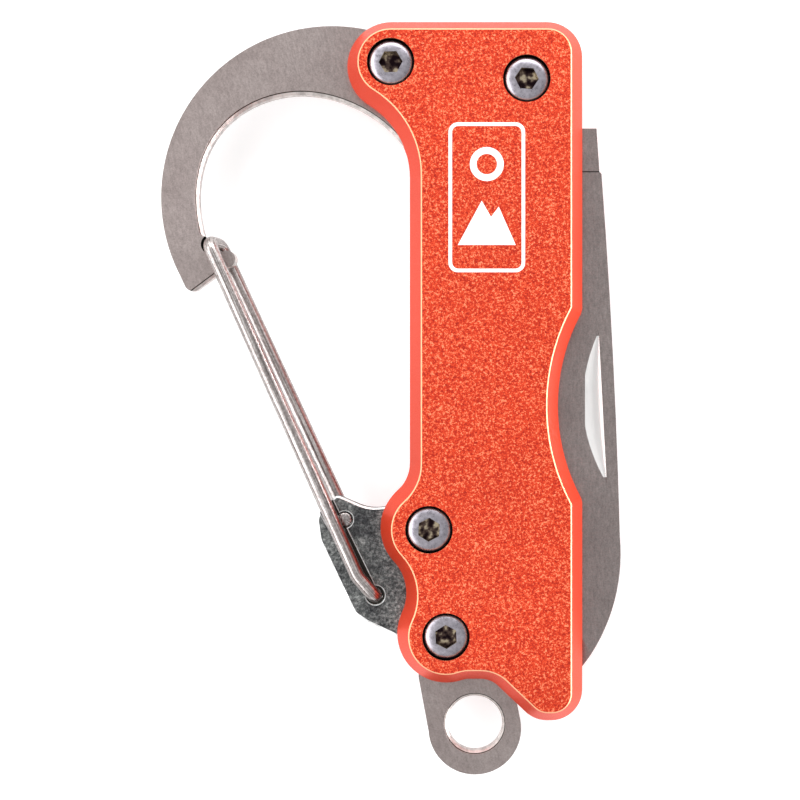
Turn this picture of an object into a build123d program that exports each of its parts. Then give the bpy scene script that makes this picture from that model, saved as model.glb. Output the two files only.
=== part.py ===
"""Carabiner keyring with a folding blade, in millimetres.

The tool lies on its back: +Z leaves the front scale, +Y points from the key eye
to the carabiner hook, and +X points to the side where the blade swings out.
The origin is the centre of the key eye, halfway through the plates.
"""
from build123d import *
import os
from math import atan2, cos, radians, sin, sqrt, tan

# ---- sheet and scale thicknesses ----
BLADE_T = 1.8
WASHER_T = 0.15
WASHER_GAP = 0.05        # running gap between each washer and the blade
PLATE_T = BLADE_T + 2 * (WASHER_T + WASHER_GAP)  # hook, lug, eye plate and backspring
SCALE_T = 4.0
HALF_PLATE = PLATE_T / 2
FACE_Z = HALF_PLATE + SCALE_T

# ---- screws: places and sizes ----
HOOK_SCREW = (-9.9, 78.55)
PIVOT = (6.1, 76.6)
LUG_SCREW = (-5.4, 23.55)
EYE_SCREW = (-3.4, 10.95)
HEAD_R = 2.62
HEAD_H = 1.8
HEAD_EDGE_H = HEAD_H - 0.45  # straight rim below the dome
HEAD_RIM = 0.14          # small edge break above the straight rim
HEAD_FLAT_R = 1.5        # flat round the socket
HEAD_DOME = 0.72         # share of the dome's rise that is reached halfway across it
HEAD_POCKET_GAP = 0.18   # black ring between head and pocket
HEAD_SINK = 0.1          # head top below the face of the scale
POCKET_DEPTH = HEAD_H + HEAD_SINK
SOCKET_FLATS = 2.45
SOCKET_DEPTH = 1.2
SCREW_R = 1.45
THREAD_GAP = 0.05
BARREL_R = 2.1
BARREL_REACH = 0.7       # how far a barrel nut stands into the front scale
BORE_GAP = 0.04          # running fit on the barrels and pins
SCREW_LENGTH = 5.6
SCREW_END_GAP = 0.3      # free thread past the end of the screw
BORE_END_GAP = 0.1       # how far the wide rear bore runs past the barrel's seat

# ---- handle outline ----
HANDLE_LEFT = -7.75
HANDLE_RIGHT = 12.8
HANDLE_BOTTOM = 0.6
FOOT_W = 5.7             # foot beside the key eye
FOOT_FLAT = 0.5          # straight kept between the foot's two round corners
HANDLE_FOOT_X = HANDLE_RIGHT - FOOT_W
HANDLE_STEP = (1.9, 5.55)  # where the lower edge turns down towards the foot
TOP_LOBE_R = 5.3
LOBE_R = 5.85
LOBE_HOLLOW_R = 5.5      # waist between the two lower lobes
HOOK_SIDE_FILLET = 10.3  # from the top lobe into the straight side
LOBE_FILLET = 4.5        # from the straight side into the lug lobe
STEP_FILLETS = (2.5, 3.0)
HANDLE_TOP = HOOK_SCREW[1] + TOP_LOBE_R
TOP_CORNER_R = 4.2
BOTTOM_CORNER_R = 3.7
WAIST_Y = 38.1           # finger groove on the blade side
WAIST_R = 23.2
WAIST_DEPTH = 2.9
BEVEL_W = 1.45
BEVEL_H = 3.0
WAIST_CORNER_R = BEVEL_W + 0.25
EDGE_BREAK = 0.12        # bright line where the bevel meets the face

# ---- hook ----
HOOK_CENTRE = (-17.1, 63.1)
HOOK_OUTER_R = 20.5
HOOK_CHAMFER = 0.45
HOOK_ROOT_X = -5.3       # hidden end beside the backspring
NOSE_FOOT = (-34.2, 51.3)
NOSE_FILLET = 1.0
NOSE_NUB = (-29.73, 55.7)
NOSE_NUB_R = 1.0
NOTCH = (-31.65, 57.45)
NOTCH_LENGTH = 4.0
NOTCH_TURN = 25.5        # the way the wire's tip swings out
NOTCH_GAP = 0.33         # air round the wire in the notch

# ---- wire gate ----
WIRE_R = 0.86
WIRE_LIFT = 0.12         # air between a wire leg and the plates
WIRE_BEND_R = WIRE_R + 0.28
KNEE_R = 3.0
LEG_Z = HALF_PLATE + WIRE_LIFT + WIRE_R
FRONT_HOLE = (-11.95, 15.4)
REAR_HOLE = (-15.6, 24.45)
FRONT_KNEE = (-14.0, 17.75)
GATE_TIP_Y = 57.55
FRONT_TIP_X = -31.78
REAR_TIP_X = -30.95
REAR_END_PROUD = 0.25    # the rear leg's end above the floor of the front groove
GROOVE_DEPTH = 0.4
GROOVE_GAP = 0.3         # round the wire in the lug's recesses
GROOVE_RIM = 0.12        # edge break round the recesses
LUG_CHAMFER = 0.25

# ---- key eye ----
EYE_HOLE_R = 3.3
EYE_CHAMFER = 0.4
EYE_RING_R = 5.55
EYE_RING_DROP = 0.55     # the ring is thicker at its free end

# ---- blade ----
TANG_R = 5.2
TANG_FLAT = 4.9          # half the distance between the tang's two flats
SHOULDER = 5.25          # distance of the shoulder from the pivot
SPINE_TOP = (15.2, 65.9)
SPINE_FOOT = (17.4, 22.4)
STEP_LINE_Y = 66.1       # shallow step where the grinding of the tang ends
STEP_LINE_W = 0.7
STEP_LINE_DEPTH = 0.12
EDGE_X = 4.7             # cutting edge, folded
BLADE_TIP = (11.0, 4.6)
BELLY_START_Y = 24.0
GRIND_W = 4.6
EDGE_HALF_T = 0.1
RICASSO_X = 3.5
GRIND_TOP_Y = 61.0
NICK_CENTRE = (15.35, 37.9)
NICK_LENGTH = 18.6
NICK_WIDTH = 2.45
NICK_DEPTH = 0.6
NICK_TILT = 3.0

# ---- backspring, washers and pins ----
SPRING_GAP = 0.02
STOP_GAP = 0.05
WASHER_R = 4.5
PIN_R = 0.9
PIN_DEPTH = 1.2          # blind hole in each scale
PIN_GAP = 0.02
STOP_PIN = (RICASSO_X - PIN_R - STOP_GAP, 64.6)
PINS = {
    "hook_pin": (-7.7, 71.8),
    "spring_pin_upper": (-5.3, 42.5),
    "spring_pin_lower": (-5.0, 32.6),
    "lug_pin": (-3.2, 19.4),
    "eye_pin": (0.6, 9.6),
    "stop_pin": STOP_PIN,
}
SCREWS = {"hook": HOOK_SCREW, "pivot": PIVOT, "lug": LUG_SCREW, "eye": EYE_SCREW}
SOCKET_TURN = {"hook": 2, "pivot": -4, "lug": 27, "eye": 33}


def outline(corners):
    """A closed flat face from (x, y, corner radius) points."""
    points = [(x, y) for x, y, _ in corners]
    radii = [radius for _, _, radius in corners]
    return make_face(FilletPolyline(*points, radius=radii, close=True))


def slab(face, low, high):
    """The face thickened from height low to height high."""
    return extrude(Pos(0, 0, low) * face, amount=high - low)


def post(place, radius, low, high):
    """An upright cylinder."""
    return Pos(*place, low) * Cylinder(radius, high - low, align=(Align.CENTER, Align.CENTER, Align.MIN))


def nearest_corner(face, place):
    return face.vertices().sort_by_distance((place[0], place[1], 0))[0]


def edges_at(solid, height):
    return solid.edges().filter_by_position(Axis.Z, height, height)


def lobe_hollow_centre():
    """The centre of the round hollow that touches the two lower lobes from outside."""
    middle = (Vector(*LUG_SCREW) + Vector(*EYE_SCREW)) / 2
    along = (Vector(*LUG_SCREW) - Vector(*EYE_SCREW)).normalized()
    half = (Vector(*LUG_SCREW) - Vector(*EYE_SCREW)).length / 2
    out = sqrt((LOBE_R + LOBE_HOLLOW_R) ** 2 - half ** 2)
    return middle + Vector(-along.Y, along.X) * out


def handle_outline():
    """One scale's outline: a straight grip with a round lobe at three of the screws."""
    slope = atan2(HANDLE_STEP[1] - HANDLE_BOTTOM, HANDLE_FOOT_X - HANDLE_STEP[0])
    foot_r = min(BOTTOM_CORNER_R, (FOOT_W - BOTTOM_CORNER_R - FOOT_FLAT) / tan(slope / 2))
    grip = outline([
        (HANDLE_LEFT, HANDLE_TOP, 0),
        (HANDLE_RIGHT, HANDLE_TOP, TOP_CORNER_R),
        (HANDLE_RIGHT, HANDLE_BOTTOM, BOTTOM_CORNER_R),
        (HANDLE_FOOT_X, HANDLE_BOTTOM, foot_r),
        (*HANDLE_STEP, 0),
        (EYE_SCREW[0], HANDLE_STEP[1], 0),
        (*EYE_SCREW, 0),
        (*LUG_SCREW, 0),
        (HANDLE_LEFT, LUG_SCREW[1], 0),
    ])
    face = grip + Pos(*HOOK_SCREW) * Circle(TOP_LOBE_R)
    face += Pos((HOOK_SCREW[0] + HANDLE_LEFT) / 2, HOOK_SCREW[1] + TOP_LOBE_R / 2) * Rectangle(
        HANDLE_LEFT - HOOK_SCREW[0], TOP_LOBE_R)
    face += Pos(*LUG_SCREW) * Circle(LOBE_R)
    face += Pos(*EYE_SCREW) * Circle(LOBE_R)
    hollow = Vector(*lobe_hollow_centre())
    face += make_face(Polyline(LUG_SCREW, hollow, EYE_SCREW, close=True))
    face -= Pos(hollow) * Circle(LOBE_HOLLOW_R)
    face -= Pos(HANDLE_RIGHT + WAIST_R - WAIST_DEPTH, WAIST_Y) * Circle(WAIST_R)
    waist_half = sqrt(WAIST_R ** 2 - (WAIST_R - WAIST_DEPTH) ** 2)
    lobe_end_x = EYE_SCREW[0] + sqrt(LOBE_R ** 2 - (EYE_SCREW[1] - HANDLE_STEP[1]) ** 2)
    for place, radius in (
        ((HANDLE_LEFT, HOOK_SCREW[1] - TOP_LOBE_R), HOOK_SIDE_FILLET),
        ((HANDLE_LEFT, LUG_SCREW[1] + LOBE_R), LOBE_FILLET),
        ((lobe_end_x, HANDLE_STEP[1]), STEP_FILLETS[0]),
        (HANDLE_STEP, STEP_FILLETS[1]),
        ((HANDLE_RIGHT, WAIST_Y + waist_half), WAIST_CORNER_R),
        ((HANDLE_RIGHT, WAIST_Y - waist_half), WAIST_CORNER_R),
    ):
        face = fillet(nearest_corner(face, place), radius)
    return face


def scale_blank(face):
    """A scale standing on the plates, with its steep bevel all round the front."""
    blank = slab(face, HALF_PLATE, FACE_Z)
    blank = chamfer(edges_at(blank, FACE_Z), length=BEVEL_H, length2=BEVEL_W)
    return chamfer(edges_at(blank, FACE_Z), length=EDGE_BREAK)


def drilled(scale, barrel_from):
    """Head pockets, screw holes and blind pin holes; barrel_from is where the wide bore ends."""
    pocket_floor = FACE_Z - POCKET_DEPTH
    for place in SCREWS.values():
        scale -= post(place, HEAD_R + HEAD_POCKET_GAP, pocket_floor, FACE_Z + 1)
        scale -= post(place, SCREW_R + THREAD_GAP, HALF_PLATE - 1, FACE_Z)
        scale -= post(place, BARREL_R + BORE_GAP, HALF_PLATE - 1, barrel_from)
    for place in PINS.values():
        scale -= post(place, PIN_R + PIN_GAP, HALF_PLATE - 1, HALF_PLATE + PIN_DEPTH)
    return scale


def front_scale(face):
    return drilled(scale_blank(face), HALF_PLATE + BARREL_REACH + BORE_GAP)


def rear_scale(face):
    return mirror(drilled(scale_blank(face), FACE_Z - POCKET_DEPTH + BORE_END_GAP), about=Plane.XY)


def plate(face, screw, *pins):
    """A flat plate with the holes for its screw barrel and locating pins."""
    body = slab(face, -HALF_PLATE, HALF_PLATE)
    body -= post(screw, BARREL_R + BORE_GAP, -PLATE_T, PLATE_T)
    for pin in pins:
        body -= post(PINS[pin], PIN_R + PIN_GAP, -PLATE_T, PLATE_T)
    return body


def on_hook(angle):
    """The point of the hook's outer circle at an angle in degrees."""
    return (HOOK_CENTRE[0] + HOOK_OUTER_R * cos(radians(angle)),
            HOOK_CENTRE[1] + HOOK_OUTER_R * sin(radians(angle)))


def hook_plate():
    """The carabiner's bow: a flat hook whose root is screwed between the scales."""
    start = on_hook(55)
    nose_start = on_hook(207.5)
    notch_top = (-32.4, 58.3)
    root_foot = (-8.0, 68.4)
    back = ThreePointArc(start, on_hook(130), nose_start)
    nose = Polyline(nose_start, NOSE_FOOT, (-29.3, 54.97), (-30.3, 56.5), notch_top)
    throat = Spline(notch_top, (-33.1, 62.9), (-32.8, 66.0), (-30.5, 71.0), (-25.1, 74.7),
                    (-19.9, 75.4), (-15.0, 74.2), (-9.5, 70.4), root_foot)
    root = Polyline(root_foot, (HOOK_ROOT_X, 69.0), (HOOK_ROOT_X, start[1]), start)
    face = make_face([back, nose, throat, root])
    face += Pos(*NOSE_NUB) * Circle(NOSE_NUB_R)
    body = plate(face, HOOK_SCREW, "hook_pin")
    rims = edges_at(body, HALF_PLATE) + edges_at(body, -HALF_PLATE)
    throat_rims = [edge for edge in rims if edge.length > HOOK_OUTER_R
                   and (edge @ 0.5 - Vector(*HOOK_CENTRE, 0)).length < HOOK_OUTER_R - 4]
    body = chamfer(throat_rims, HOOK_CHAMFER)
    nose_middle = (Vector(*NOSE_FOOT) + Vector(*NOSE_NUB)) / 2
    for height in (HALF_PLATE, -HALF_PLATE):
        rims = edges_at(body, height).sort_by_distance((nose_middle.X, nose_middle.Y, height))
        body = chamfer(rims[0], HOOK_CHAMFER)
    foot = body.edges().filter_by(Axis.Z).sort_by_distance((*NOSE_FOOT, 0))[0]
    body = fillet(foot, NOSE_FILLET)
    notch = Pos(NOTCH_LENGTH / 2, 0) * SlotCenterToCenter(NOTCH_LENGTH, 2 * (WIRE_R + NOTCH_GAP))
    return body - slab(Pos(*NOTCH) * Rot(0, 0, NOTCH_TURN) * notch, -PLATE_T, PLATE_T)


def gate_lug():
    """The tab that the two ends of the wire gate are hooked into, from both faces."""
    face = outline([
        (-19.0, 24.9, 1.6),
        (-16.55, 27.4, 0.6),
        (-12.0, 25.45, 5.0),
        (-8.0, 27.0, 1.0),
        (-1.3, 27.6, 1.5),
        (-1.3, 17.0, 1.5),
        (-7.3, 16.2, 0.8),
        (-7.3, 9.0, 0.4),
        (-9.3, 10.5, 2.0),
        (-12.9, 12.2, 1.5),
        (-14.4, 13.2, 1.5),
        (-18.6, 22.0, 2.5),
    ])
    body = plate(face, LUG_SCREW, "lug_pin")
    for height in (HALF_PLATE, -HALF_PLATE):
        rims = [edge for edge in edges_at(body, height)
                if edge.center().Y > REAR_HOLE[1] and edge.center().X < LUG_SCREW[0] - LOBE_R]
        body = chamfer(rims, LUG_CHAMFER)
    groove = outline([
        (-20.5, 28.6, 0),
        (-17.9, 28.6, 0),
        (FRONT_HOLE[0] + WIRE_R / 4, FRONT_HOLE[1] + 2 * GROOVE_GAP, 0),
        (FRONT_HOLE[0] - 0.5, FRONT_HOLE[1] - WIRE_R, 0),
    ])
    groove += Pos(*FRONT_HOLE) * Circle(WIRE_R + GROOVE_GAP)
    groove += Pos(*REAR_HOLE) * Circle(WIRE_R + GROOVE_GAP / 2)
    body -= slab(groove, HALF_PLATE - GROOVE_DEPTH, PLATE_T)
    body -= slab(offset(groove, GROOVE_RIM), HALF_PLATE - GROOVE_RIM, PLATE_T)
    body -= slab(Pos(*REAR_HOLE) * Circle(WIRE_R + GROOVE_GAP), -PLATE_T, GROOVE_DEPTH - HALF_PLATE)
    for hole in (FRONT_HOLE, REAR_HOLE):
        body -= post(hole, WIRE_R + BORE_GAP, -PLATE_T, PLATE_T)
    return body


def eye_plate():
    """The plate with the key eye, screwed between the scales at the lower end."""
    ring_centre = (0, -EYE_RING_DROP)
    stem = outline([
        (-EYE_RING_R + 0.02, -EYE_RING_DROP - 0.4, 0),
        (EYE_RING_R - 0.1, -EYE_RING_DROP + 1.0, 0),
        (2.4, 15.2, 2.0),
        (-6.6, 15.2, 1.0),
        (-6.75, 5.6, 2.0),
    ])
    face = stem + Pos(*ring_centre) * Circle(EYE_RING_R)
    body = plate(face, EYE_SCREW, "eye_pin")
    body -= post((0, 0), EYE_HOLE_R, -PLATE_T, PLATE_T)
    rims = [edge for edge in edges_at(body, HALF_PLATE) + edges_at(body, -HALF_PLATE)
            if edge.geom_type == GeomType.CIRCLE and abs(edge.radius - EYE_HOLE_R) < 0.01]
    return chamfer(rims, EYE_CHAMFER)


def wire_gate():
    """One bent wire: its two ends turn into the lug from opposite faces."""
    end_z = HALF_PLATE - GROOVE_DEPTH
    path = FilletPolyline(
        (*FRONT_HOLE, -HALF_PLATE),
        (*FRONT_HOLE, LEG_Z),
        (*FRONT_KNEE, LEG_Z),
        (FRONT_TIP_X, GATE_TIP_Y, LEG_Z),
        (REAR_TIP_X, GATE_TIP_Y, -LEG_Z),
        (*REAR_HOLE, -LEG_Z),
        (*REAR_HOLE, end_z + REAR_END_PROUD),
        radius=[WIRE_BEND_R, KNEE_R, WIRE_BEND_R, WIRE_BEND_R, WIRE_BEND_R],
    )
    section = Plane(origin=path @ 0, z_dir=path % 0) * Circle(WIRE_R)
    return sweep(section, path=path)


def blade_outline():
    """The folded blade: tang round the pivot, spine outwards, edge inside the handle."""
    px, py = PIVOT
    shoulder_y = py - SHOULDER
    belly_start = (EDGE_X, BELLY_START_Y)
    lines = [
        Polyline(SPINE_TOP, (14.95, 66.2), (14.6, shoulder_y), (px, shoulder_y),
                 (px - TANG_FLAT, shoulder_y), (px - TANG_FLAT, 69.0), (RICASSO_X, 67.0),
                 (RICASSO_X, 62.2), (EDGE_X, GRIND_TOP_Y), belly_start),
        TangentArc(belly_start, BLADE_TIP, tangent=(0, -1)),
        ThreePointArc(BLADE_TIP, (15.15, 10.4), SPINE_FOOT),
        ThreePointArc(SPINE_FOOT, (16.55, 44.6), SPINE_TOP),
    ]
    face = make_face(lines)
    tang = Pos(px, py) * Circle(TANG_R) & Pos(px, py) * Rectangle(2 * TANG_FLAT, 2 * TANG_R)
    neck = Pos(px, py - SHOULDER / 2) * Rectangle(2 * TANG_FLAT, SHOULDER)
    return face + neck + tang


def blade():
    """Blade with a flat grind on both faces and a nail nick near the spine."""
    half = BLADE_T / 2
    body = slab(blade_outline(), -half, half)
    grind_top = (EDGE_X, GRIND_TOP_Y - 1)
    belly_start = (EDGE_X, BELLY_START_Y)
    belly = TangentArc(belly_start, BLADE_TIP, tangent=(0, -1))
    past_tip = belly @ 1 + (belly % 1) * 4
    edge_path = Wire([Line(grind_top, belly_start), belly, Line(belly @ 1, past_tip)])
    for side in (1, -1):
        wedge = Plane(origin=(*grind_top, 0), x_dir=(1, 0, 0), z_dir=(0, -1, 0)) * make_face(
            Polyline((-1.0, -side * EDGE_HALF_T), (0, -side * EDGE_HALF_T), (GRIND_W, -side * half),
                     (GRIND_W, -side * 2), (-1.0, -side * 2), close=True))
        body -= sweep(wedge, path=edge_path)
    wheel_r = NICK_LENGTH ** 2 / (8 * NICK_DEPTH)
    cutter = Cone(wheel_r, wheel_r - NICK_DEPTH, NICK_WIDTH, align=(Align.CENTER, Align.CENTER, Align.MIN))
    place = Pos(*NICK_CENTRE, half - NICK_DEPTH + wheel_r) * Rot(0, 0, NICK_TILT) * Rot(0, -90, 0)
    body -= place * cutter
    notch = Plane(origin=(HANDLE_RIGHT - BEVEL_W, STEP_LINE_Y, half), z_dir=(1, 0, 0)) * make_face(
        Polyline((0, 0), (0, -STEP_LINE_DEPTH), (-STEP_LINE_W, 0), close=True))
    body -= extrude(notch, amount=SPINE_FOOT[0] - HANDLE_RIGHT)
    return body - post(PIVOT, BARREL_R + BORE_GAP, -PLATE_T, PLATE_T)


def backspring():
    """The slip spring: pinned at its foot, its head bears on the tang's flat."""
    face_x = PIVOT[0] - TANG_FLAT - SPRING_GAP
    top_y = PIVOT[1] + SHOULDER - STOP_GAP
    face = outline([
        (-7.5, 28.8, 0.5),
        (-2.4, 28.8, 1.0),
        (-3.4, 47.0, 20.0),
        (-1.8, 66.0, 6.0),
        (face_x, 70.0, 1.5),
        (face_x, top_y, 0.3),
        (HOOK_ROOT_X + 0.6, top_y, 0.4),
        (HOOK_ROOT_X + 0.6, 66.5, 3.0),
        (-7.5, 61.5, 2.0),
    ])
    body = slab(face, -HALF_PLATE, HALF_PLATE)
    for pin in ("spring_pin_upper", "spring_pin_lower"):
        body -= post(PINS[pin], PIN_R + PIN_GAP, -PLATE_T, PLATE_T)
    return body


def hex_socket(turn, low, high):
    return slab(Rot(0, 0, turn) * RegularPolygon(SOCKET_FLATS / 2, 6, major_radius=False), low, high)


def button_head():
    """Half section of a domed head about the Z axis, standing on z = 0."""
    break_r = HEAD_R - HEAD_RIM
    break_h = HEAD_EDGE_H + HEAD_RIM
    mid_r = (break_r + HEAD_FLAT_R) / 2
    mid_h = break_h + HEAD_DOME * (HEAD_H - break_h)
    lines = [
        Polyline((0, HEAD_H), (0, 0), (HEAD_R, 0), (HEAD_R, HEAD_EDGE_H), (break_r, break_h)),
        ThreePointArc((break_r, break_h), (mid_r, mid_h), (HEAD_FLAT_R, HEAD_H)),
        Line((HEAD_FLAT_R, HEAD_H), (0, HEAD_H)),
    ]
    return revolve(Plane.XZ * make_face(lines), axis=Axis.Z)


def screw(name):
    """A button-head screw: its head sits in the front scale, its shank in the barrel nut."""
    seat = FACE_Z - POCKET_DEPTH
    body = Pos(0, 0, seat) * button_head()
    body += post((0, 0), SCREW_R, seat - SCREW_LENGTH, seat)
    body -= hex_socket(SOCKET_TURN[name], seat + HEAD_H - SOCKET_DEPTH, seat + HEAD_H + 1)
    return Pos(*SCREWS[name], 0) * body


def barrel_nut(name):
    """A barrel nut from the rear; at the pivot the blade turns on its barrel."""
    seat = FACE_Z - POCKET_DEPTH
    head = Pos(0, 0, -seat) * mirror(button_head(), about=Plane.XY)
    body = head + post((0, 0), BARREL_R, -seat, HALF_PLATE + BARREL_REACH)
    body -= post((0, 0), SCREW_R + THREAD_GAP, seat - SCREW_LENGTH - SCREW_END_GAP, FACE_Z)
    body -= hex_socket(-SOCKET_TURN[name], -seat - HEAD_H - 1, -seat - HEAD_H + SOCKET_DEPTH)
    return Pos(*SCREWS[name], 0) * body


def washer(side):
    """A thin bronze washer between the blade and one scale."""
    low = BLADE_T / 2 + WASHER_GAP
    ring = post(PIVOT, WASHER_R, low, HALF_PLATE) - post(PIVOT, BARREL_R + BORE_GAP, low - 1, FACE_Z)
    return ring if side > 0 else mirror(ring, about=Plane.XY)


def pin(name):
    reach = HALF_PLATE + PIN_DEPTH - 0.05
    return post(PINS[name], PIN_R, -reach, reach)


def all_parts():
    """Every piece of the tool, by the name of its file."""
    face = handle_outline()
    parts = {
        "front_scale": front_scale(face),
        "rear_scale": rear_scale(face),
        "hook_plate": hook_plate(),
        "gate_lug": gate_lug(),
        "eye_plate": eye_plate(),
        "wire_gate": wire_gate(),
        "blade": blade(),
        "backspring": backspring(),
        "pivot_washer_front": washer(1),
        "pivot_washer_rear": washer(-1),
    }
    for name in SCREWS:
        parts[f"{name}_screw"] = screw(name)
        parts[f"{name}_barrel_nut"] = barrel_nut(name)
    for name in PINS:
        parts[name] = pin(name)
    return parts


if __name__ == "__main__":
    os.makedirs("parts", exist_ok=True)
    for name, part in all_parts().items():
        export_step(part, f"parts/{name}.step")
        print(f"{name}: {part.volume:.1f} mm3, {len(part.solids())} solid, valid {part.is_valid}")
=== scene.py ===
from math import atan, cos, pi, sin, tan

import bmesh
import bpy
from mathutils import Matrix, Vector


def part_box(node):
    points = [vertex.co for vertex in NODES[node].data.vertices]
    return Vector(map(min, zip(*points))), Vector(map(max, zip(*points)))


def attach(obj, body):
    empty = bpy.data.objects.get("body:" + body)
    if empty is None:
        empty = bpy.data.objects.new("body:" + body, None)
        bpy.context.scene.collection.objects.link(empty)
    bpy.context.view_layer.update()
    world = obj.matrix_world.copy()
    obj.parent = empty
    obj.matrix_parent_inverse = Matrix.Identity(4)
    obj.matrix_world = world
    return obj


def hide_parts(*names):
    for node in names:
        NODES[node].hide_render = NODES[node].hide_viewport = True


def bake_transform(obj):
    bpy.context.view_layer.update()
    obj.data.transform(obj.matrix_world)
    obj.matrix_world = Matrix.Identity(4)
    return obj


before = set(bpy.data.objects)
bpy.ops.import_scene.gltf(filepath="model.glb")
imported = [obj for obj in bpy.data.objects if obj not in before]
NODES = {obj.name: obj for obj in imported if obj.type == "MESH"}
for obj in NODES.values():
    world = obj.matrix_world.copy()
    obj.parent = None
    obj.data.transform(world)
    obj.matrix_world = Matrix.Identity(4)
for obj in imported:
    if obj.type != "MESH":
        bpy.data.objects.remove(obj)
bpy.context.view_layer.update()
MM = 0.001

# ---- places taken from the frame ----
FACE_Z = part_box("front_scale")[1][2]
BACK_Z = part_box("rear_scale")[0][2]
PLATE_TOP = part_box("hook_plate")[1][2]
BLADE_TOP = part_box("blade")[1][2]
GATE_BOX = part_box("wire_gate")
SCREW_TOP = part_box("hook_screw")[1][2]
SCREW_NAMES = ("hook_screw", "pivot_screw", "lug_screw", "eye_screw")
POCKET_R = 2.8 * MM
SOCKET_R = 1.42 * MM
NOTCH = (-31.65 * MM, 57.45 * MM)
NOTCH_SHADE_R = 1.25 * MM
NICK_LEFT = 13.2 * MM
NICK_BOTTOM = 29.5 * MM
NICK_TOP = 46.5 * MM

# ---- wire gate, as the CAD route gives it, in metres ----
WIRE_R = 0.86 * MM
BEND_R = WIRE_R + 0.28 * MM
LEG_Z = GATE_BOX[1][2] - WIRE_R
FRONT_HOLE = (-11.95 * MM, 15.4 * MM)
REAR_HOLE = (-15.6 * MM, 24.45 * MM)
FRONT_KNEE = (-14.0 * MM, 17.75 * MM)
KNEE_R = 3.0 * MM
TIP_Y = 57.55 * MM
FRONT_TIP_X = -31.78 * MM
REAR_TIP_X = -30.95 * MM
REAR_END_DEPTH = 0.15 * MM  # the rear leg's end below the lug's face
WIRE_ROUTE = [
    ((*FRONT_HOLE, -PLATE_TOP), 0),
    ((*FRONT_HOLE, LEG_Z), BEND_R),
    ((*FRONT_KNEE, LEG_Z), KNEE_R),
    ((FRONT_TIP_X, TIP_Y, LEG_Z), BEND_R),
    ((REAR_TIP_X, TIP_Y, -LEG_Z), BEND_R),
    ((*REAR_HOLE, -LEG_Z), BEND_R),
    ((*REAR_HOLE, PLATE_TOP - REAR_END_DEPTH), 0),
]


# ---- node helpers ----
def new_material(name):
    mat = bpy.data.materials.new(name)
    mat.use_nodes = True
    nodes = mat.node_tree.nodes
    return mat, nodes, mat.node_tree.links, nodes["Principled BSDF"]


def coords(nodes, links, length=(1, 1, 1), turn=0.0, source="Object"):
    """Object coordinates in millimetres; the pattern is drawn out by length along axes turned about Z."""
    place = nodes.new("ShaderNodeTexCoord")
    mapping = nodes.new("ShaderNodeMapping")
    mapping.vector_type = "TEXTURE"
    mapping.inputs["Scale"].default_value = [MM * part for part in length]
    mapping.inputs["Rotation"].default_value = (0, 0, turn)
    links.new(place.outputs[source], mapping.inputs["Vector"])
    return mapping.outputs["Vector"]


def own_axes(nodes, links):
    """The object's own X, Y and Z coordinates, in metres."""
    place = nodes.new("ShaderNodeTexCoord")
    split = nodes.new("ShaderNodeSeparateXYZ")
    links.new(place.outputs["Object"], split.inputs["Vector"])
    return split.outputs


def distance_from(nodes, links, x, y):
    """How far a point is from an upright axis at (x, y), in metres."""
    outputs = own_axes(nodes, links)
    flat = nodes.new("ShaderNodeCombineXYZ")
    links.new(outputs["X"], flat.inputs["X"])
    links.new(outputs["Y"], flat.inputs["Y"])
    gap = nodes.new("ShaderNodeVectorMath")
    gap.operation = "DISTANCE"
    links.new(flat.outputs["Vector"], gap.inputs[0])
    gap.inputs[1].default_value = (x, y, 0)
    return gap.outputs["Value"]


def arithmetic(nodes, links, operation, *values):
    """One arithmetic node fed by one or two values."""
    node = nodes.new("ShaderNodeMath")
    node.operation = operation
    for value, socket in zip(values, node.inputs):
        links.new(value, socket)
    return node.outputs["Value"]


def smaller(nodes, links, first, second):
    return arithmetic(nodes, links, "MINIMUM", first, second)


def times(nodes, links, first, second):
    return arithmetic(nodes, links, "MULTIPLY", first, second)


def add(nodes, links, first, second):
    return arithmetic(nodes, links, "ADD", first, second)


def noise(nodes, links, vector, scale, detail=3.0, roughness=0.6):
    node = nodes.new("ShaderNodeTexNoise")
    node.inputs["Scale"].default_value = scale
    node.inputs["Detail"].default_value = detail
    node.inputs["Roughness"].default_value = roughness
    links.new(vector, node.inputs["Vector"])
    return node.outputs["Fac"]


def ramp(nodes, links, fac, stops):
    node = nodes.new("ShaderNodeValToRGB")
    elements = node.color_ramp.elements
    while len(elements) < len(stops):
        elements.new(0.5)
    for element, (place, colour) in zip(elements, stops):
        element.position = place
        element.color = (*colour, 1)
    links.new(fac, node.inputs["Fac"])
    return node.outputs["Color"]


def remap(nodes, links, fac, low, high, out_low, out_high):
    node = nodes.new("ShaderNodeMapRange")
    for name, value in (("From Min", low), ("From Max", high), ("To Min", out_low), ("To Max", out_high)):
        node.inputs[name].default_value = value
    links.new(fac, node.inputs["Value"])
    return node.outputs["Result"]


def mix(nodes, links, fac, first, second, blend="MIX"):
    node = nodes.new("ShaderNodeMix")
    node.data_type = "RGBA"
    node.blend_type = blend
    sockets = [node.inputs[name] for name in ("Factor", "A", "B")]
    for socket, value in zip(sockets, (fac, first, second)):
        if isinstance(value, (int, float)):
            socket.default_value = value
        elif isinstance(value, tuple):
            socket.default_value = (*value, 1)
        else:
            links.new(value, socket)
    return node.outputs["Result"]


def bump(nodes, links, height, strength, distance_mm, shader):
    node = nodes.new("ShaderNodeBump")
    node.inputs["Strength"].default_value = strength
    node.inputs["Distance"].default_value = distance_mm * MM
    links.new(height, node.inputs["Height"])
    links.new(node.outputs["Normal"], shader.inputs["Normal"])


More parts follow.
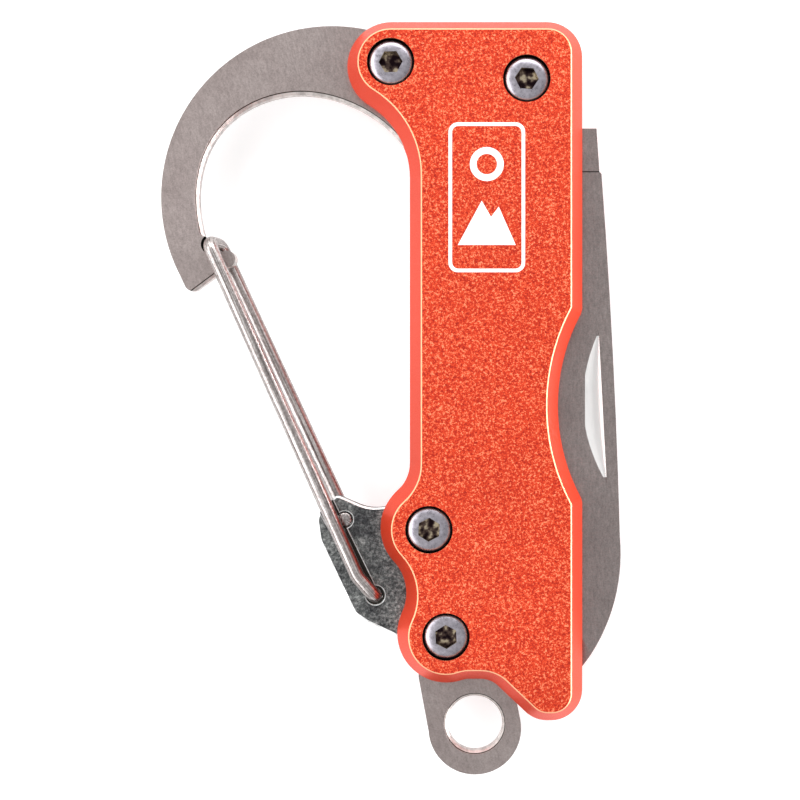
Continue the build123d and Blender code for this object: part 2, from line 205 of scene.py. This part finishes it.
# ---- materials ----
def anodised_orange():
    """Dyed aluminium: a blasted, sparkling face, smooth bevels, a painted highlight on the edge break, and
    painted shade that makes the pockets round the screws black.
    """
    mat, nodes, links, shader = new_material("anodised_orange")
    place = coords(nodes, links)
    grain = noise(nodes, links, place, 3.6, 2.0, 0.6)
    fine = noise(nodes, links, place, 8.0, 2.0, 0.6)
    cloud = noise(nodes, links, place, 0.07, 2.0)
    both = mix(nodes, links, 0.45, grain, fine)
    blasted = ramp(nodes, links, both, [
        (0.38, (0.36, 0.014, 0.004)),
        (0.47, (0.62, 0.034, 0.008)),
        (0.54, (0.78, 0.064, 0.014)),
        (0.61, (0.92, 0.30, 0.15)),
    ])
    height = own_axes(nodes, links)["Z"]
    on_face = remap(nodes, links, height, FACE_Z - 0.10 * MM, FACE_Z - 0.03 * MM, 0.0, 1.0)
    on_back = remap(nodes, links, height, BACK_Z + 0.03 * MM, BACK_Z + 0.10 * MM, 1.0, 0.0)
    face = add(nodes, links, on_face, on_back)
    base = mix(nodes, links, face, (0.70, 0.046, 0.010), blasted)
    size = arithmetic(nodes, links, "ABSOLUTE", height)
    # painted highlight: the edge break just under each face is painted pale orange
    edge_break_highlight = times(nodes, links,
                 remap(nodes, links, size, FACE_Z - 0.13 * MM, FACE_Z - 0.11 * MM, 0.0, 1.0),
                 remap(nodes, links, size, FACE_Z - 0.03 * MM, FACE_Z - 0.01 * MM, 1.0, 0.0))
    base = mix(nodes, links, edge_break_highlight, base, (0.93, 0.50, 0.28))
    shade = ramp(nodes, links, cloud, [(0.3, (0.90, 0.86, 0.86)), (0.7, (1.0, 1.0, 1.0))])
    base = mix(nodes, links, 1.0, base, shade, "MULTIPLY")
    # painted shade: inside the pockets round the screws, below the faces, the colour goes near black
    nearest = None
    for name in SCREW_NAMES:
        low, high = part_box(name)
        gap = distance_from(nodes, links, (low[0] + high[0]) / 2, (low[1] + high[1]) / 2)
        nearest = gap if nearest is None else smaller(nodes, links, nearest, gap)
    inside = remap(nodes, links, nearest, POCKET_R + 0.02 * MM, POCKET_R + 0.06 * MM, 1.0, 0.0)
    below = remap(nodes, links, height, FACE_Z - 0.25 * MM, FACE_Z - 0.06 * MM, 1.0, 0.0)
    above = remap(nodes, links, height, BACK_Z + 0.06 * MM, BACK_Z + 0.25 * MM, 0.0, 1.0)
    painted_shade_depth = times(nodes, links, inside, smaller(nodes, links, below, above))
    links.new(mix(nodes, links, painted_shade_depth, base, (0.012, 0.004, 0.003)), shader.inputs["Base Color"])
    gloss = remap(nodes, links, fine, 0.3, 0.7, 0.34, 0.52)
    links.new(gloss, shader.inputs["Roughness"])
    shader.inputs["Metallic"].default_value = 0.5
    relief = times(nodes, links, face, remap(nodes, links, both, 0.3, 0.7, 0.0, 1.0))
    bump(nodes, links, relief, 0.55, 0.05, shader)
    return mat


def sheet_steel(name, dark, light, grain_scale, length, turn, rough, strength):
    """Steel sheet: fine rolling lines, faint cloudy stains and a slightly uneven gloss."""
    mat, nodes, links, shader = new_material(name)
    lines = noise(nodes, links, coords(nodes, links, length, turn), grain_scale, 4.0, 0.7)
    speck = noise(nodes, links, coords(nodes, links), 6.0, 3.0, 0.7)
    cloud = noise(nodes, links, coords(nodes, links), 0.16, 3.0)
    both = mix(nodes, links, 0.55, lines, speck)
    base = ramp(nodes, links, both, [(0.32, dark), (0.68, light)])
    stain = ramp(nodes, links, cloud, [(0.3, (0.86, 0.84, 0.84)), (0.7, (1.0, 1.0, 1.0))])
    links.new(mix(nodes, links, 1.0, base, stain, "MULTIPLY"), shader.inputs["Base Color"])
    links.new(remap(nodes, links, both, 0.3, 0.7, rough - 0.07, rough + 0.1), shader.inputs["Roughness"])
    shader.inputs["Metallic"].default_value = 1.0
    bump(nodes, links, both, strength, 0.02, shader)
    return mat


def paint_edge_light_and_shade(mat, top, bright, dark, colour, contrast):
    """A plate's cut edges: a bright band of painted reflection and highlight and a dark band of painted
    shade, each between two depths below the faces in mm.
    """
    nodes, links = mat.node_tree.nodes, mat.node_tree.links
    shader = nodes["Principled BSDF"]
    size = arithmetic(nodes, links, "ABSOLUTE", own_axes(nodes, links)["Z"])
    streak = noise(nodes, links, coords(nodes, links, (1, 1, 3)), 1.2, 3.0, 0.6)
    low = tuple((1 - contrast) * part for part in colour)
    high = tuple(min(1.0, (1 + contrast) * part) for part in colour)
    tone = ramp(nodes, links, streak, [(0.38, low), (0.62, high)])

    def band(near, far):
        below = remap(nodes, links, size, top - (near + 0.02) * MM, top - near * MM, 1.0, 0.0)
        above = remap(nodes, links, size, top - far * MM, top - (far - 0.02) * MM, 0.0, 1.0)
        return times(nodes, links, below, above)

    old = shader.inputs["Base Color"].links[0].from_socket
    # painted reflection and highlight in the bright band, painted shade in the dark band
    edged = mix(nodes, links, band(*bright), old, tone)
    links.new(mix(nodes, links, band(*dark), edged, (0.05, 0.045, 0.04)), shader.inputs["Base Color"])


def paint_nick_polish_and_reflection(mat, left, bottom, top):
    """The nail nick is ground bright and painted near white as a reflection: whatever lies below the faces
    right of left, from bottom to top.
    """
    nodes, links = mat.node_tree.nodes, mat.node_tree.links
    shader = nodes["Principled BSDF"]
    outputs = own_axes(nodes, links)
    past_left = remap(nodes, links, outputs["X"], left, left + 0.05 * MM, 0.0, 1.0)
    past_bottom = remap(nodes, links, outputs["Y"], bottom, bottom + 0.05 * MM, 0.0, 1.0)
    short_of_top = remap(nodes, links, outputs["Y"], top - 0.05 * MM, top, 1.0, 0.0)
    inside = times(nodes, links, times(nodes, links, past_left, past_bottom), short_of_top)
    height = outputs["Z"]
    below = remap(nodes, links, height, BLADE_TOP - 0.03 * MM, BLADE_TOP - 0.01 * MM, 1.0, 0.0)
    above = remap(nodes, links, height, -BLADE_TOP + 0.01 * MM, 0.03 * MM - BLADE_TOP, 0.0, 1.0)
    inside = times(nodes, links, inside, times(nodes, links, below, above))
    old = shader.inputs["Base Color"].links[0].from_socket
    # painted reflection: near-white colour over the polished nick
    links.new(mix(nodes, links, inside, old, (0.95, 0.94, 0.93)), shader.inputs["Base Color"])


def shade_notch(mat, x, y, radius):
    """The notch for the wire is painted almost black inside, as shade."""
    nodes, links = mat.node_tree.nodes, mat.node_tree.links
    shader = nodes["Principled BSDF"]
    near = remap(nodes, links, distance_from(nodes, links, x, y), radius, radius + 0.06 * MM, 1.0, 0.0)
    height = own_axes(nodes, links)["Z"]
    painted_shade_depth = remap(nodes, links, height, PLATE_TOP - 0.08 * MM, PLATE_TOP - 0.04 * MM, 1.0, 0.0)
    inside = times(nodes, links, near, painted_shade_depth)
    old = shader.inputs["Base Color"].links[0].from_socket
    # painted shade: near black and not metallic inside the notch
    links.new(mix(nodes, links, inside, old, (0.01, 0.01, 0.01)), shader.inputs["Base Color"])
    links.new(remap(nodes, links, inside, 0.0, 1.0, 1.0, 0.0), shader.inputs["Metallic"])
    shader.inputs["Specular IOR Level"].default_value = 0.0


def tumbled_steel():
    """The lug's dark, stone-tumbled surface with pale scuffs."""
    mat, nodes, links, shader = new_material("tumbled_steel")
    place = coords(nodes, links)
    pits = noise(nodes, links, place, 2.6, 5.0, 0.8)
    patch = noise(nodes, links, place, 0.30, 2.0)
    base = ramp(nodes, links, pits, [
        (0.34, (0.035, 0.036, 0.037)),
        (0.50, (0.115, 0.118, 0.118)),
        (0.66, (0.34, 0.345, 0.34)),
    ])
    tone = ramp(nodes, links, patch, [(0.36, (0.45, 0.45, 0.47)), (0.64, (1.5, 1.51, 1.49))])
    links.new(mix(nodes, links, 1.0, base, tone, "MULTIPLY"), shader.inputs["Base Color"])
    links.new(remap(nodes, links, pits, 0.3, 0.7, 0.38, 0.6), shader.inputs["Roughness"])
    shader.inputs["Metallic"].default_value = 1.0
    bump(nodes, links, pits, 0.7, 0.04, shader)
    return mat


def polished_wire():
    """Drawn wire: polished, with lengthwise die marks laid along its own length."""
    mat, nodes, links, shader = new_material("polished_wire")
    marks = noise(nodes, links, coords(nodes, links, (0.16, 14, 1), 0.0, "UV"), 1.0, 4.0, 0.65)
    scuffs = noise(nodes, links, coords(nodes, links), 3.0, 3.0, 0.7)
    both = mix(nodes, links, 0.3, marks, scuffs)
    links.new(ramp(nodes, links, both, [(0.38, (0.15, 0.125, 0.12)), (0.5, (0.36, 0.32, 0.31)),
                                        (0.60, (0.70, 0.665, 0.65))]), shader.inputs["Base Color"])
    links.new(remap(nodes, links, both, 0.3, 0.7, 0.24, 0.4), shader.inputs["Roughness"])
    shader.inputs["Metallic"].default_value = 1.0
    bump(nodes, links, both, 0.4, 0.01, shader)
    return mat


def screw_steel(name, top):
    """Screw steel with a faint violet tint; in its socket a painted highlight at the mouth gives way lower
    down to painted shade, darker and browner, with painted reflections on the floor.
    """
    mat, nodes, links, shader = new_material(name)
    turned = noise(nodes, links, coords(nodes, links), 1.6, 4.0, 0.7)
    base = ramp(nodes, links, turned, [(0.3, (0.27, 0.25, 0.285)), (0.7, (0.50, 0.475, 0.53))])
    height = own_axes(nodes, links)["Z"]
    into = 1 if top > 0 else -1
    # painted light and shade: pale yellowish at the socket's mouth, near black lower down
    socket_shade_depth = remap(nodes, links, height, top - into * 0.2 * MM, top - into * 1.15 * MM, 0.0, 1.0)
    # painted reflections: lighter spots on the socket floor
    reflection_noise = noise(nodes, links, coords(nodes, links), 1.1, 2.0, 0.5)
    floor = ramp(nodes, links, reflection_noise, [(0.42, (0.012, 0.006, 0.008)), (0.54, (0.09, 0.06, 0.05)),
                                        (0.64, (0.50, 0.42, 0.30))])
    socket = mix(nodes, links, socket_shade_depth, (0.75, 0.66, 0.50), floor)
    inner = None
    for screw in SCREW_NAMES:
        low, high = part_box(screw)
        gap = distance_from(nodes, links, (low[0] + high[0]) / 2, (low[1] + high[1]) / 2)
        inner = gap if inner is None else smaller(nodes, links, inner, gap)
    hollow = times(nodes, links, remap(nodes, links, inner, SOCKET_R, SOCKET_R + 0.08 * MM, 1.0, 0.0),
                   remap(nodes, links, height, top - into * 0.02 * MM, top - into * 0.06 * MM, 0.0, 1.0))
    links.new(mix(nodes, links, hollow, base, socket), shader.inputs["Base Color"])
    links.new(remap(nodes, links, turned, 0.3, 0.7, 0.24, 0.38), shader.inputs["Roughness"])
    shader.inputs["Metallic"].default_value = 1.0
    bump(nodes, links, turned, 0.15, 0.01, shader)
    return mat


def pad_print():
    """White pad-printed ink that the blasted grain breaks up at its edges."""
    mat, nodes, links, shader = new_material("pad_print")
    grain = noise(nodes, links, coords(nodes, links), 5.5, 3.0, 0.7)
    links.new(ramp(nodes, links, grain, [(0.30, (0.80, 0.46, 0.36)), (0.42, (0.93, 0.90, 0.88))]),
              shader.inputs["Base Color"])
    links.new(remap(nodes, links, grain, 0.3, 0.7, 0.45, 0.65), shader.inputs["Roughness"])
    bump(nodes, links, grain, 0.3, 0.02, shader)
    return mat


STEEL = sheet_steel("stamped_steel", (0.27, 0.23, 0.22), (0.45, 0.39, 0.375), 3.4, (1, 3, 1), 0.3, 0.42, 0.45)
BLADE = sheet_steel("blade_steel", (0.21, 0.182, 0.176), (0.39, 0.342, 0.33), 4.0, (1, 4, 1), 0.03, 0.38, 0.3)
SPRING = sheet_steel("spring_steel", (0.25, 0.24, 0.235), (0.42, 0.41, 0.40), 4.0, (1, 10, 1), 0.0, 0.36, 0.3)
BRONZE = sheet_steel("bronze", (0.42, 0.24, 0.10), (0.62, 0.40, 0.18), 3.0, (1, 1, 1), 0.0, 0.32, 0.2)
paint_nick_polish_and_reflection(BLADE, NICK_LEFT, NICK_BOTTOM, NICK_TOP)
# painted reflection: the cut walls of the hook and eye plates are painted light, partly their lighter sheared
# finish; a painted shade band runs just under the faces
paint_edge_light_and_shade(STEEL, PLATE_TOP, (0.04, 1.2), (0.03, 0.15), (0.60, 0.56, 0.54), 0.2)
shade_notch(STEEL, *NOTCH, NOTCH_SHADE_R)
ORANGE = anodised_orange()
LUG = tumbled_steel()
# painted highlight on the lug's top edges and groove rim; painted shadow on the groove floor, with a thin
# dark band at the same height on the lug's walls
paint_edge_light_and_shade(LUG, PLATE_TOP, (0.03, 0.30), (0.32, 0.46), (0.88, 0.88, 0.87), 0.25)
WIRE = polished_wire()
SCREW = screw_steel("screw_steel", SCREW_TOP)
NUT = screw_steel("nut_steel", -SCREW_TOP)
PRINT = pad_print()

FINISH = {"front_scale": ORANGE, "rear_scale": ORANGE, "hook_plate": STEEL, "eye_plate": STEEL,
          "gate_lug": LUG, "blade": BLADE, "backspring": SPRING, "wire_gate": WIRE}


def paint(obj, material):
    for index in range(len(obj.data.materials)):
        obj.data.materials[index] = material
    if not obj.data.materials:
        obj.data.materials.append(material)


for node_name, node in NODES.items():
    if node_name in FINISH:
        paint(node, FINISH[node_name])
    elif node_name.endswith("_screw"):
        paint(node, SCREW)
    elif node_name.endswith("_barrel_nut"):
        paint(node, NUT)
    elif "washer" in node_name:
        paint(node, BRONZE)
    else:
        paint(node, SPRING)


# ---- wire gate ----
def rounded_path(route, step=0.35 * MM):
    """Evenly spaced points along straight runs joined by round bends."""
    points = [Vector(route[0][0])]
    for (before, _), (corner, radius), (after, _) in zip(route, route[1:], route[2:]):
        corner = Vector(corner)
        back = (Vector(before) - corner).normalized()
        ahead = (Vector(after) - corner).normalized()
        half = back.angle(ahead) / 2
        reach = radius / tan(half)
        centre = corner + (back + ahead).normalized() * (radius / sin(half))
        start = corner + back * reach
        end = corner + ahead * reach
        turn = pi - 2 * half
        axis = (start - centre).cross(end - centre).normalized()
        bends = max(6, int(turn * 9))
        for index in range(bends + 1):
            points.append(centre + Matrix.Rotation(turn * index / bends, 3, axis) @ (start - centre))
    points.append(Vector(route[-1][0]))
    dense = [points[0]]
    for first, second in zip(points, points[1:]):
        count = max(1, int((second - first).length / step))
        dense += [first.lerp(second, (index + 1) / count) for index in range(count)]
    return dense


def lay_marks(mesh, path, sides):
    """UVs in metres: round the wire and along it, so that its die marks follow every bend."""
    layer = mesh.loops.layers.uv.new("wire")
    mesh.verts.index_update()
    run = [0.0]
    for first, second in zip(path, path[1:]):
        run.append(run[-1] + (second - first).length)
    for face in mesh.faces:
        rounds = [loop.vert.index % sides for loop in face.loops]
        wraps = max(rounds) - min(rounds) > 1
        for loop, place in zip(face.loops, rounds):
            turn = sides if wraps and place == 0 else place
            ring = min(loop.vert.index // sides, len(run) - 1)
            loop[layer].uv = (2 * pi * WIRE_R * turn / sides, run[ring])


def tube(name, path, radius, sides=24):
    """A round wire along a path, its two ends domed a little."""
    mesh = bmesh.new()
    rings = []
    side = (path[1] - path[0]).orthogonal().normalized()
    last = len(path) - 1
    for index, point in enumerate(path):
        along = (path[min(index + 1, last)] - path[max(index - 1, 0)]).normalized()
        side = (side - along * side.dot(along)).normalized()
        across = along.cross(side)
        turns = [2 * pi * k / sides for k in range(sides)]
        rings.append([mesh.verts.new(point + radius * (side * cos(turn) + across * sin(turn)))
                      for turn in turns])
    for first, second in zip(rings, rings[1:]):
        for k in range(sides):
            mesh.faces.new((first[k], first[(k + 1) % sides], second[(k + 1) % sides], second[k]))
    for ring, point, inner in ((rings[0], path[0], path[1]), (rings[-1], path[-1], path[-2])):
        out = (point - inner).normalized()
        cap = [mesh.verts.new(point + (v.co - point) * 0.8 + out * 0.12 * MM) for v in ring]
        for k in range(sides):
            mesh.faces.new((ring[k], ring[(k + 1) % sides], cap[(k + 1) % sides], cap[k]))
        mesh.faces.new(cap)
    lay_marks(mesh, path, sides)
    bmesh.ops.recalc_face_normals(mesh, faces=mesh.faces)
    data = bpy.data.meshes.new(name)
    mesh.to_mesh(data)
    mesh.free()
    for polygon in data.polygons:
        polygon.use_smooth = True
    obj = bpy.data.objects.new(name, data)
    bpy.context.scene.collection.objects.link(obj)
    return obj


gate = tube("wire_gate_spring", rounded_path(WIRE_ROUTE), WIRE_R)
paint(gate, WIRE)
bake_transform(gate)
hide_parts("wire_gate")


# ---- generic mark on the front scale ----
def flat_piece(name, loops, z, thickness):
    """A thin printed shape from closed loops of (x, y) in millimetres; inner loops are holes."""
    curve = bpy.data.curves.new(name, "CURVE")
    curve.dimensions = "2D"
    curve.fill_mode = "BOTH"
    curve.extrude = thickness / 2
    for loop in loops:
        spline = curve.splines.new("POLY")
        spline.points.add(len(loop) - 1)
        for point, (x, y) in zip(spline.points, loop):
            point.co = (x * MM, y * MM, 0, 1)
        spline.use_cyclic_u = True
    source = bpy.data.objects.new(name + "_outline", curve)
    bpy.context.scene.collection.objects.link(source)
    bpy.context.view_layer.update()
    data = bpy.data.meshes.new_from_object(source)
    bpy.data.objects.remove(source)
    data.name = name
    data.transform(Matrix.Translation((0, 0, z)))
    obj = bpy.data.objects.new(name, data)
    bpy.context.scene.collection.objects.link(obj)
    return obj


def round_box(cx, cy, width, height, radius, steps=8):
    corners = [(1, 1, 0), (-1, 1, 90), (-1, -1, 180), (1, -1, 270)]
    loop = []
    for sx, sy, start in corners:
        for index in range(steps + 1):
            angle = (start + 90 * index / steps) * pi / 180
            loop.append((cx + sx * (width / 2 - radius) + radius * cos(angle),
                         cy + sy * (height / 2 - radius) + radius * sin(angle)))
    return loop


def disc(cx, cy, radius, steps=40):
    turns = [2 * pi * k / steps for k in range(steps)]
    return [(cx + radius * cos(turn), cy + radius * sin(turn)) for turn in turns]


MARK_X, MARK_Y = 1.4, 62.6
MARK_W, MARK_H = 9.0, 17.6
LINE = 0.42
RING_UP = 3.9
RING_R = 2.0
RING_HOLE_R = 1.2
PEAK_BASE = MARK_Y - 5.6
mark_loops = [
    round_box(MARK_X, MARK_Y, MARK_W, MARK_H, 1.1),
    round_box(MARK_X, MARK_Y, MARK_W - 2 * LINE, MARK_H - 2 * LINE, 0.75),
    disc(MARK_X, MARK_Y + RING_UP, RING_R),
    disc(MARK_X, MARK_Y + RING_UP, RING_HOLE_R),
    [(MARK_X - 3.4, PEAK_BASE), (MARK_X - 0.6, MARK_Y - 0.4), (MARK_X + 0.5, MARK_Y - 2.3),
     (MARK_X + 1.4, MARK_Y - 1.1), (MARK_X + 3.4, PEAK_BASE)],
]
mark = flat_piece("front_print", mark_loops, FACE_Z + 0.008 * MM, 0.02 * MM)
paint(mark, PRINT)
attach(mark, "handle")


# ---- floor, light and camera ----
def lay_floor():
    bpy.ops.mesh.primitive_plane_add(size=3.0, location=(0, 0, BACK_Z - 0.02 * MM))
    floor = bpy.context.object
    floor.name = "floor"
    mat, nodes, links, shader = new_material("pale_floor")
    shader.inputs["Base Color"].default_value = (0.6, 0.6, 0.6, 1)
    shader.inputs["Emission Color"].default_value = (1, 1, 1, 1)
    shader.inputs["Emission Strength"].default_value = 0.55
    shader.inputs["Roughness"].default_value = 0.9
    shader.inputs["Specular IOR Level"].default_value = 0.1
    floor.data.materials.append(mat)


def soft_light(name, place, size, power, tint=(1, 1, 1)):
    data = bpy.data.lights.new(name, "AREA")
    data.shape = "RECTANGLE"
    data.size, data.size_y = size
    data.energy = power
    data.color = tint
    light = bpy.data.objects.new(name, data)
    bpy.context.scene.collection.objects.link(light)
    light.location = place
    aim = Vector((0, 0.04, 0)) - Vector(place)
    light.rotation_euler = aim.to_track_quat("-Z", "Y").to_euler()


def set_world(low, high):
    """White surroundings, brighter to the left than to the right."""
    world = bpy.data.worlds.new("studio")
    bpy.context.scene.world = world
    world.use_nodes = True
    nodes, links = world.node_tree.nodes, world.node_tree.links
    background = nodes["Background"]
    place = nodes.new("ShaderNodeTexCoord")
    split = nodes.new("ShaderNodeSeparateXYZ")
    links.new(place.outputs["Generated"], split.inputs["Vector"])
    links.new(remap(nodes, links, split.outputs["X"], -0.7, 0.5, high, low), background.inputs["Strength"])
    background.inputs["Color"].default_value = (1, 1, 1, 1)


CAMERA_SHIFT = (-0.09, -0.0075)  # shares of the frame's width


def place_camera():
    """Straight down on the tool from 0.2 m, a little right of its middle as framed."""
    distance = 200 * MM
    view_width = 96.4 * MM
    data = bpy.data.cameras.new("camera")
    data.sensor_fit = "HORIZONTAL"
    data.angle = 2 * atan(view_width / 2 / distance)
    data.clip_start = 0.01
    data.shift_x, data.shift_y = CAMERA_SHIFT
    camera = bpy.data.objects.new("camera", data)
    bpy.context.scene.collection.objects.link(camera)
    camera.location = (-0.34 * MM, 39.5 * MM, distance)
    bpy.context.scene.camera = camera


lay_floor()
set_world(0.62, 0.98)
soft_light("low_right", (0.5, 0.0, 0.08), (0.7, 0.14), 4.2)
soft_light("top_back", (0.05, 0.5, 0.25), (0.7, 0.25), 2.4)
soft_light("soft_left", (-0.33, 0.03, 0.26), (0.6, 0.22), 1.4)
place_camera()
bpy.context.scene.view_settings.view_transform = "Standard"
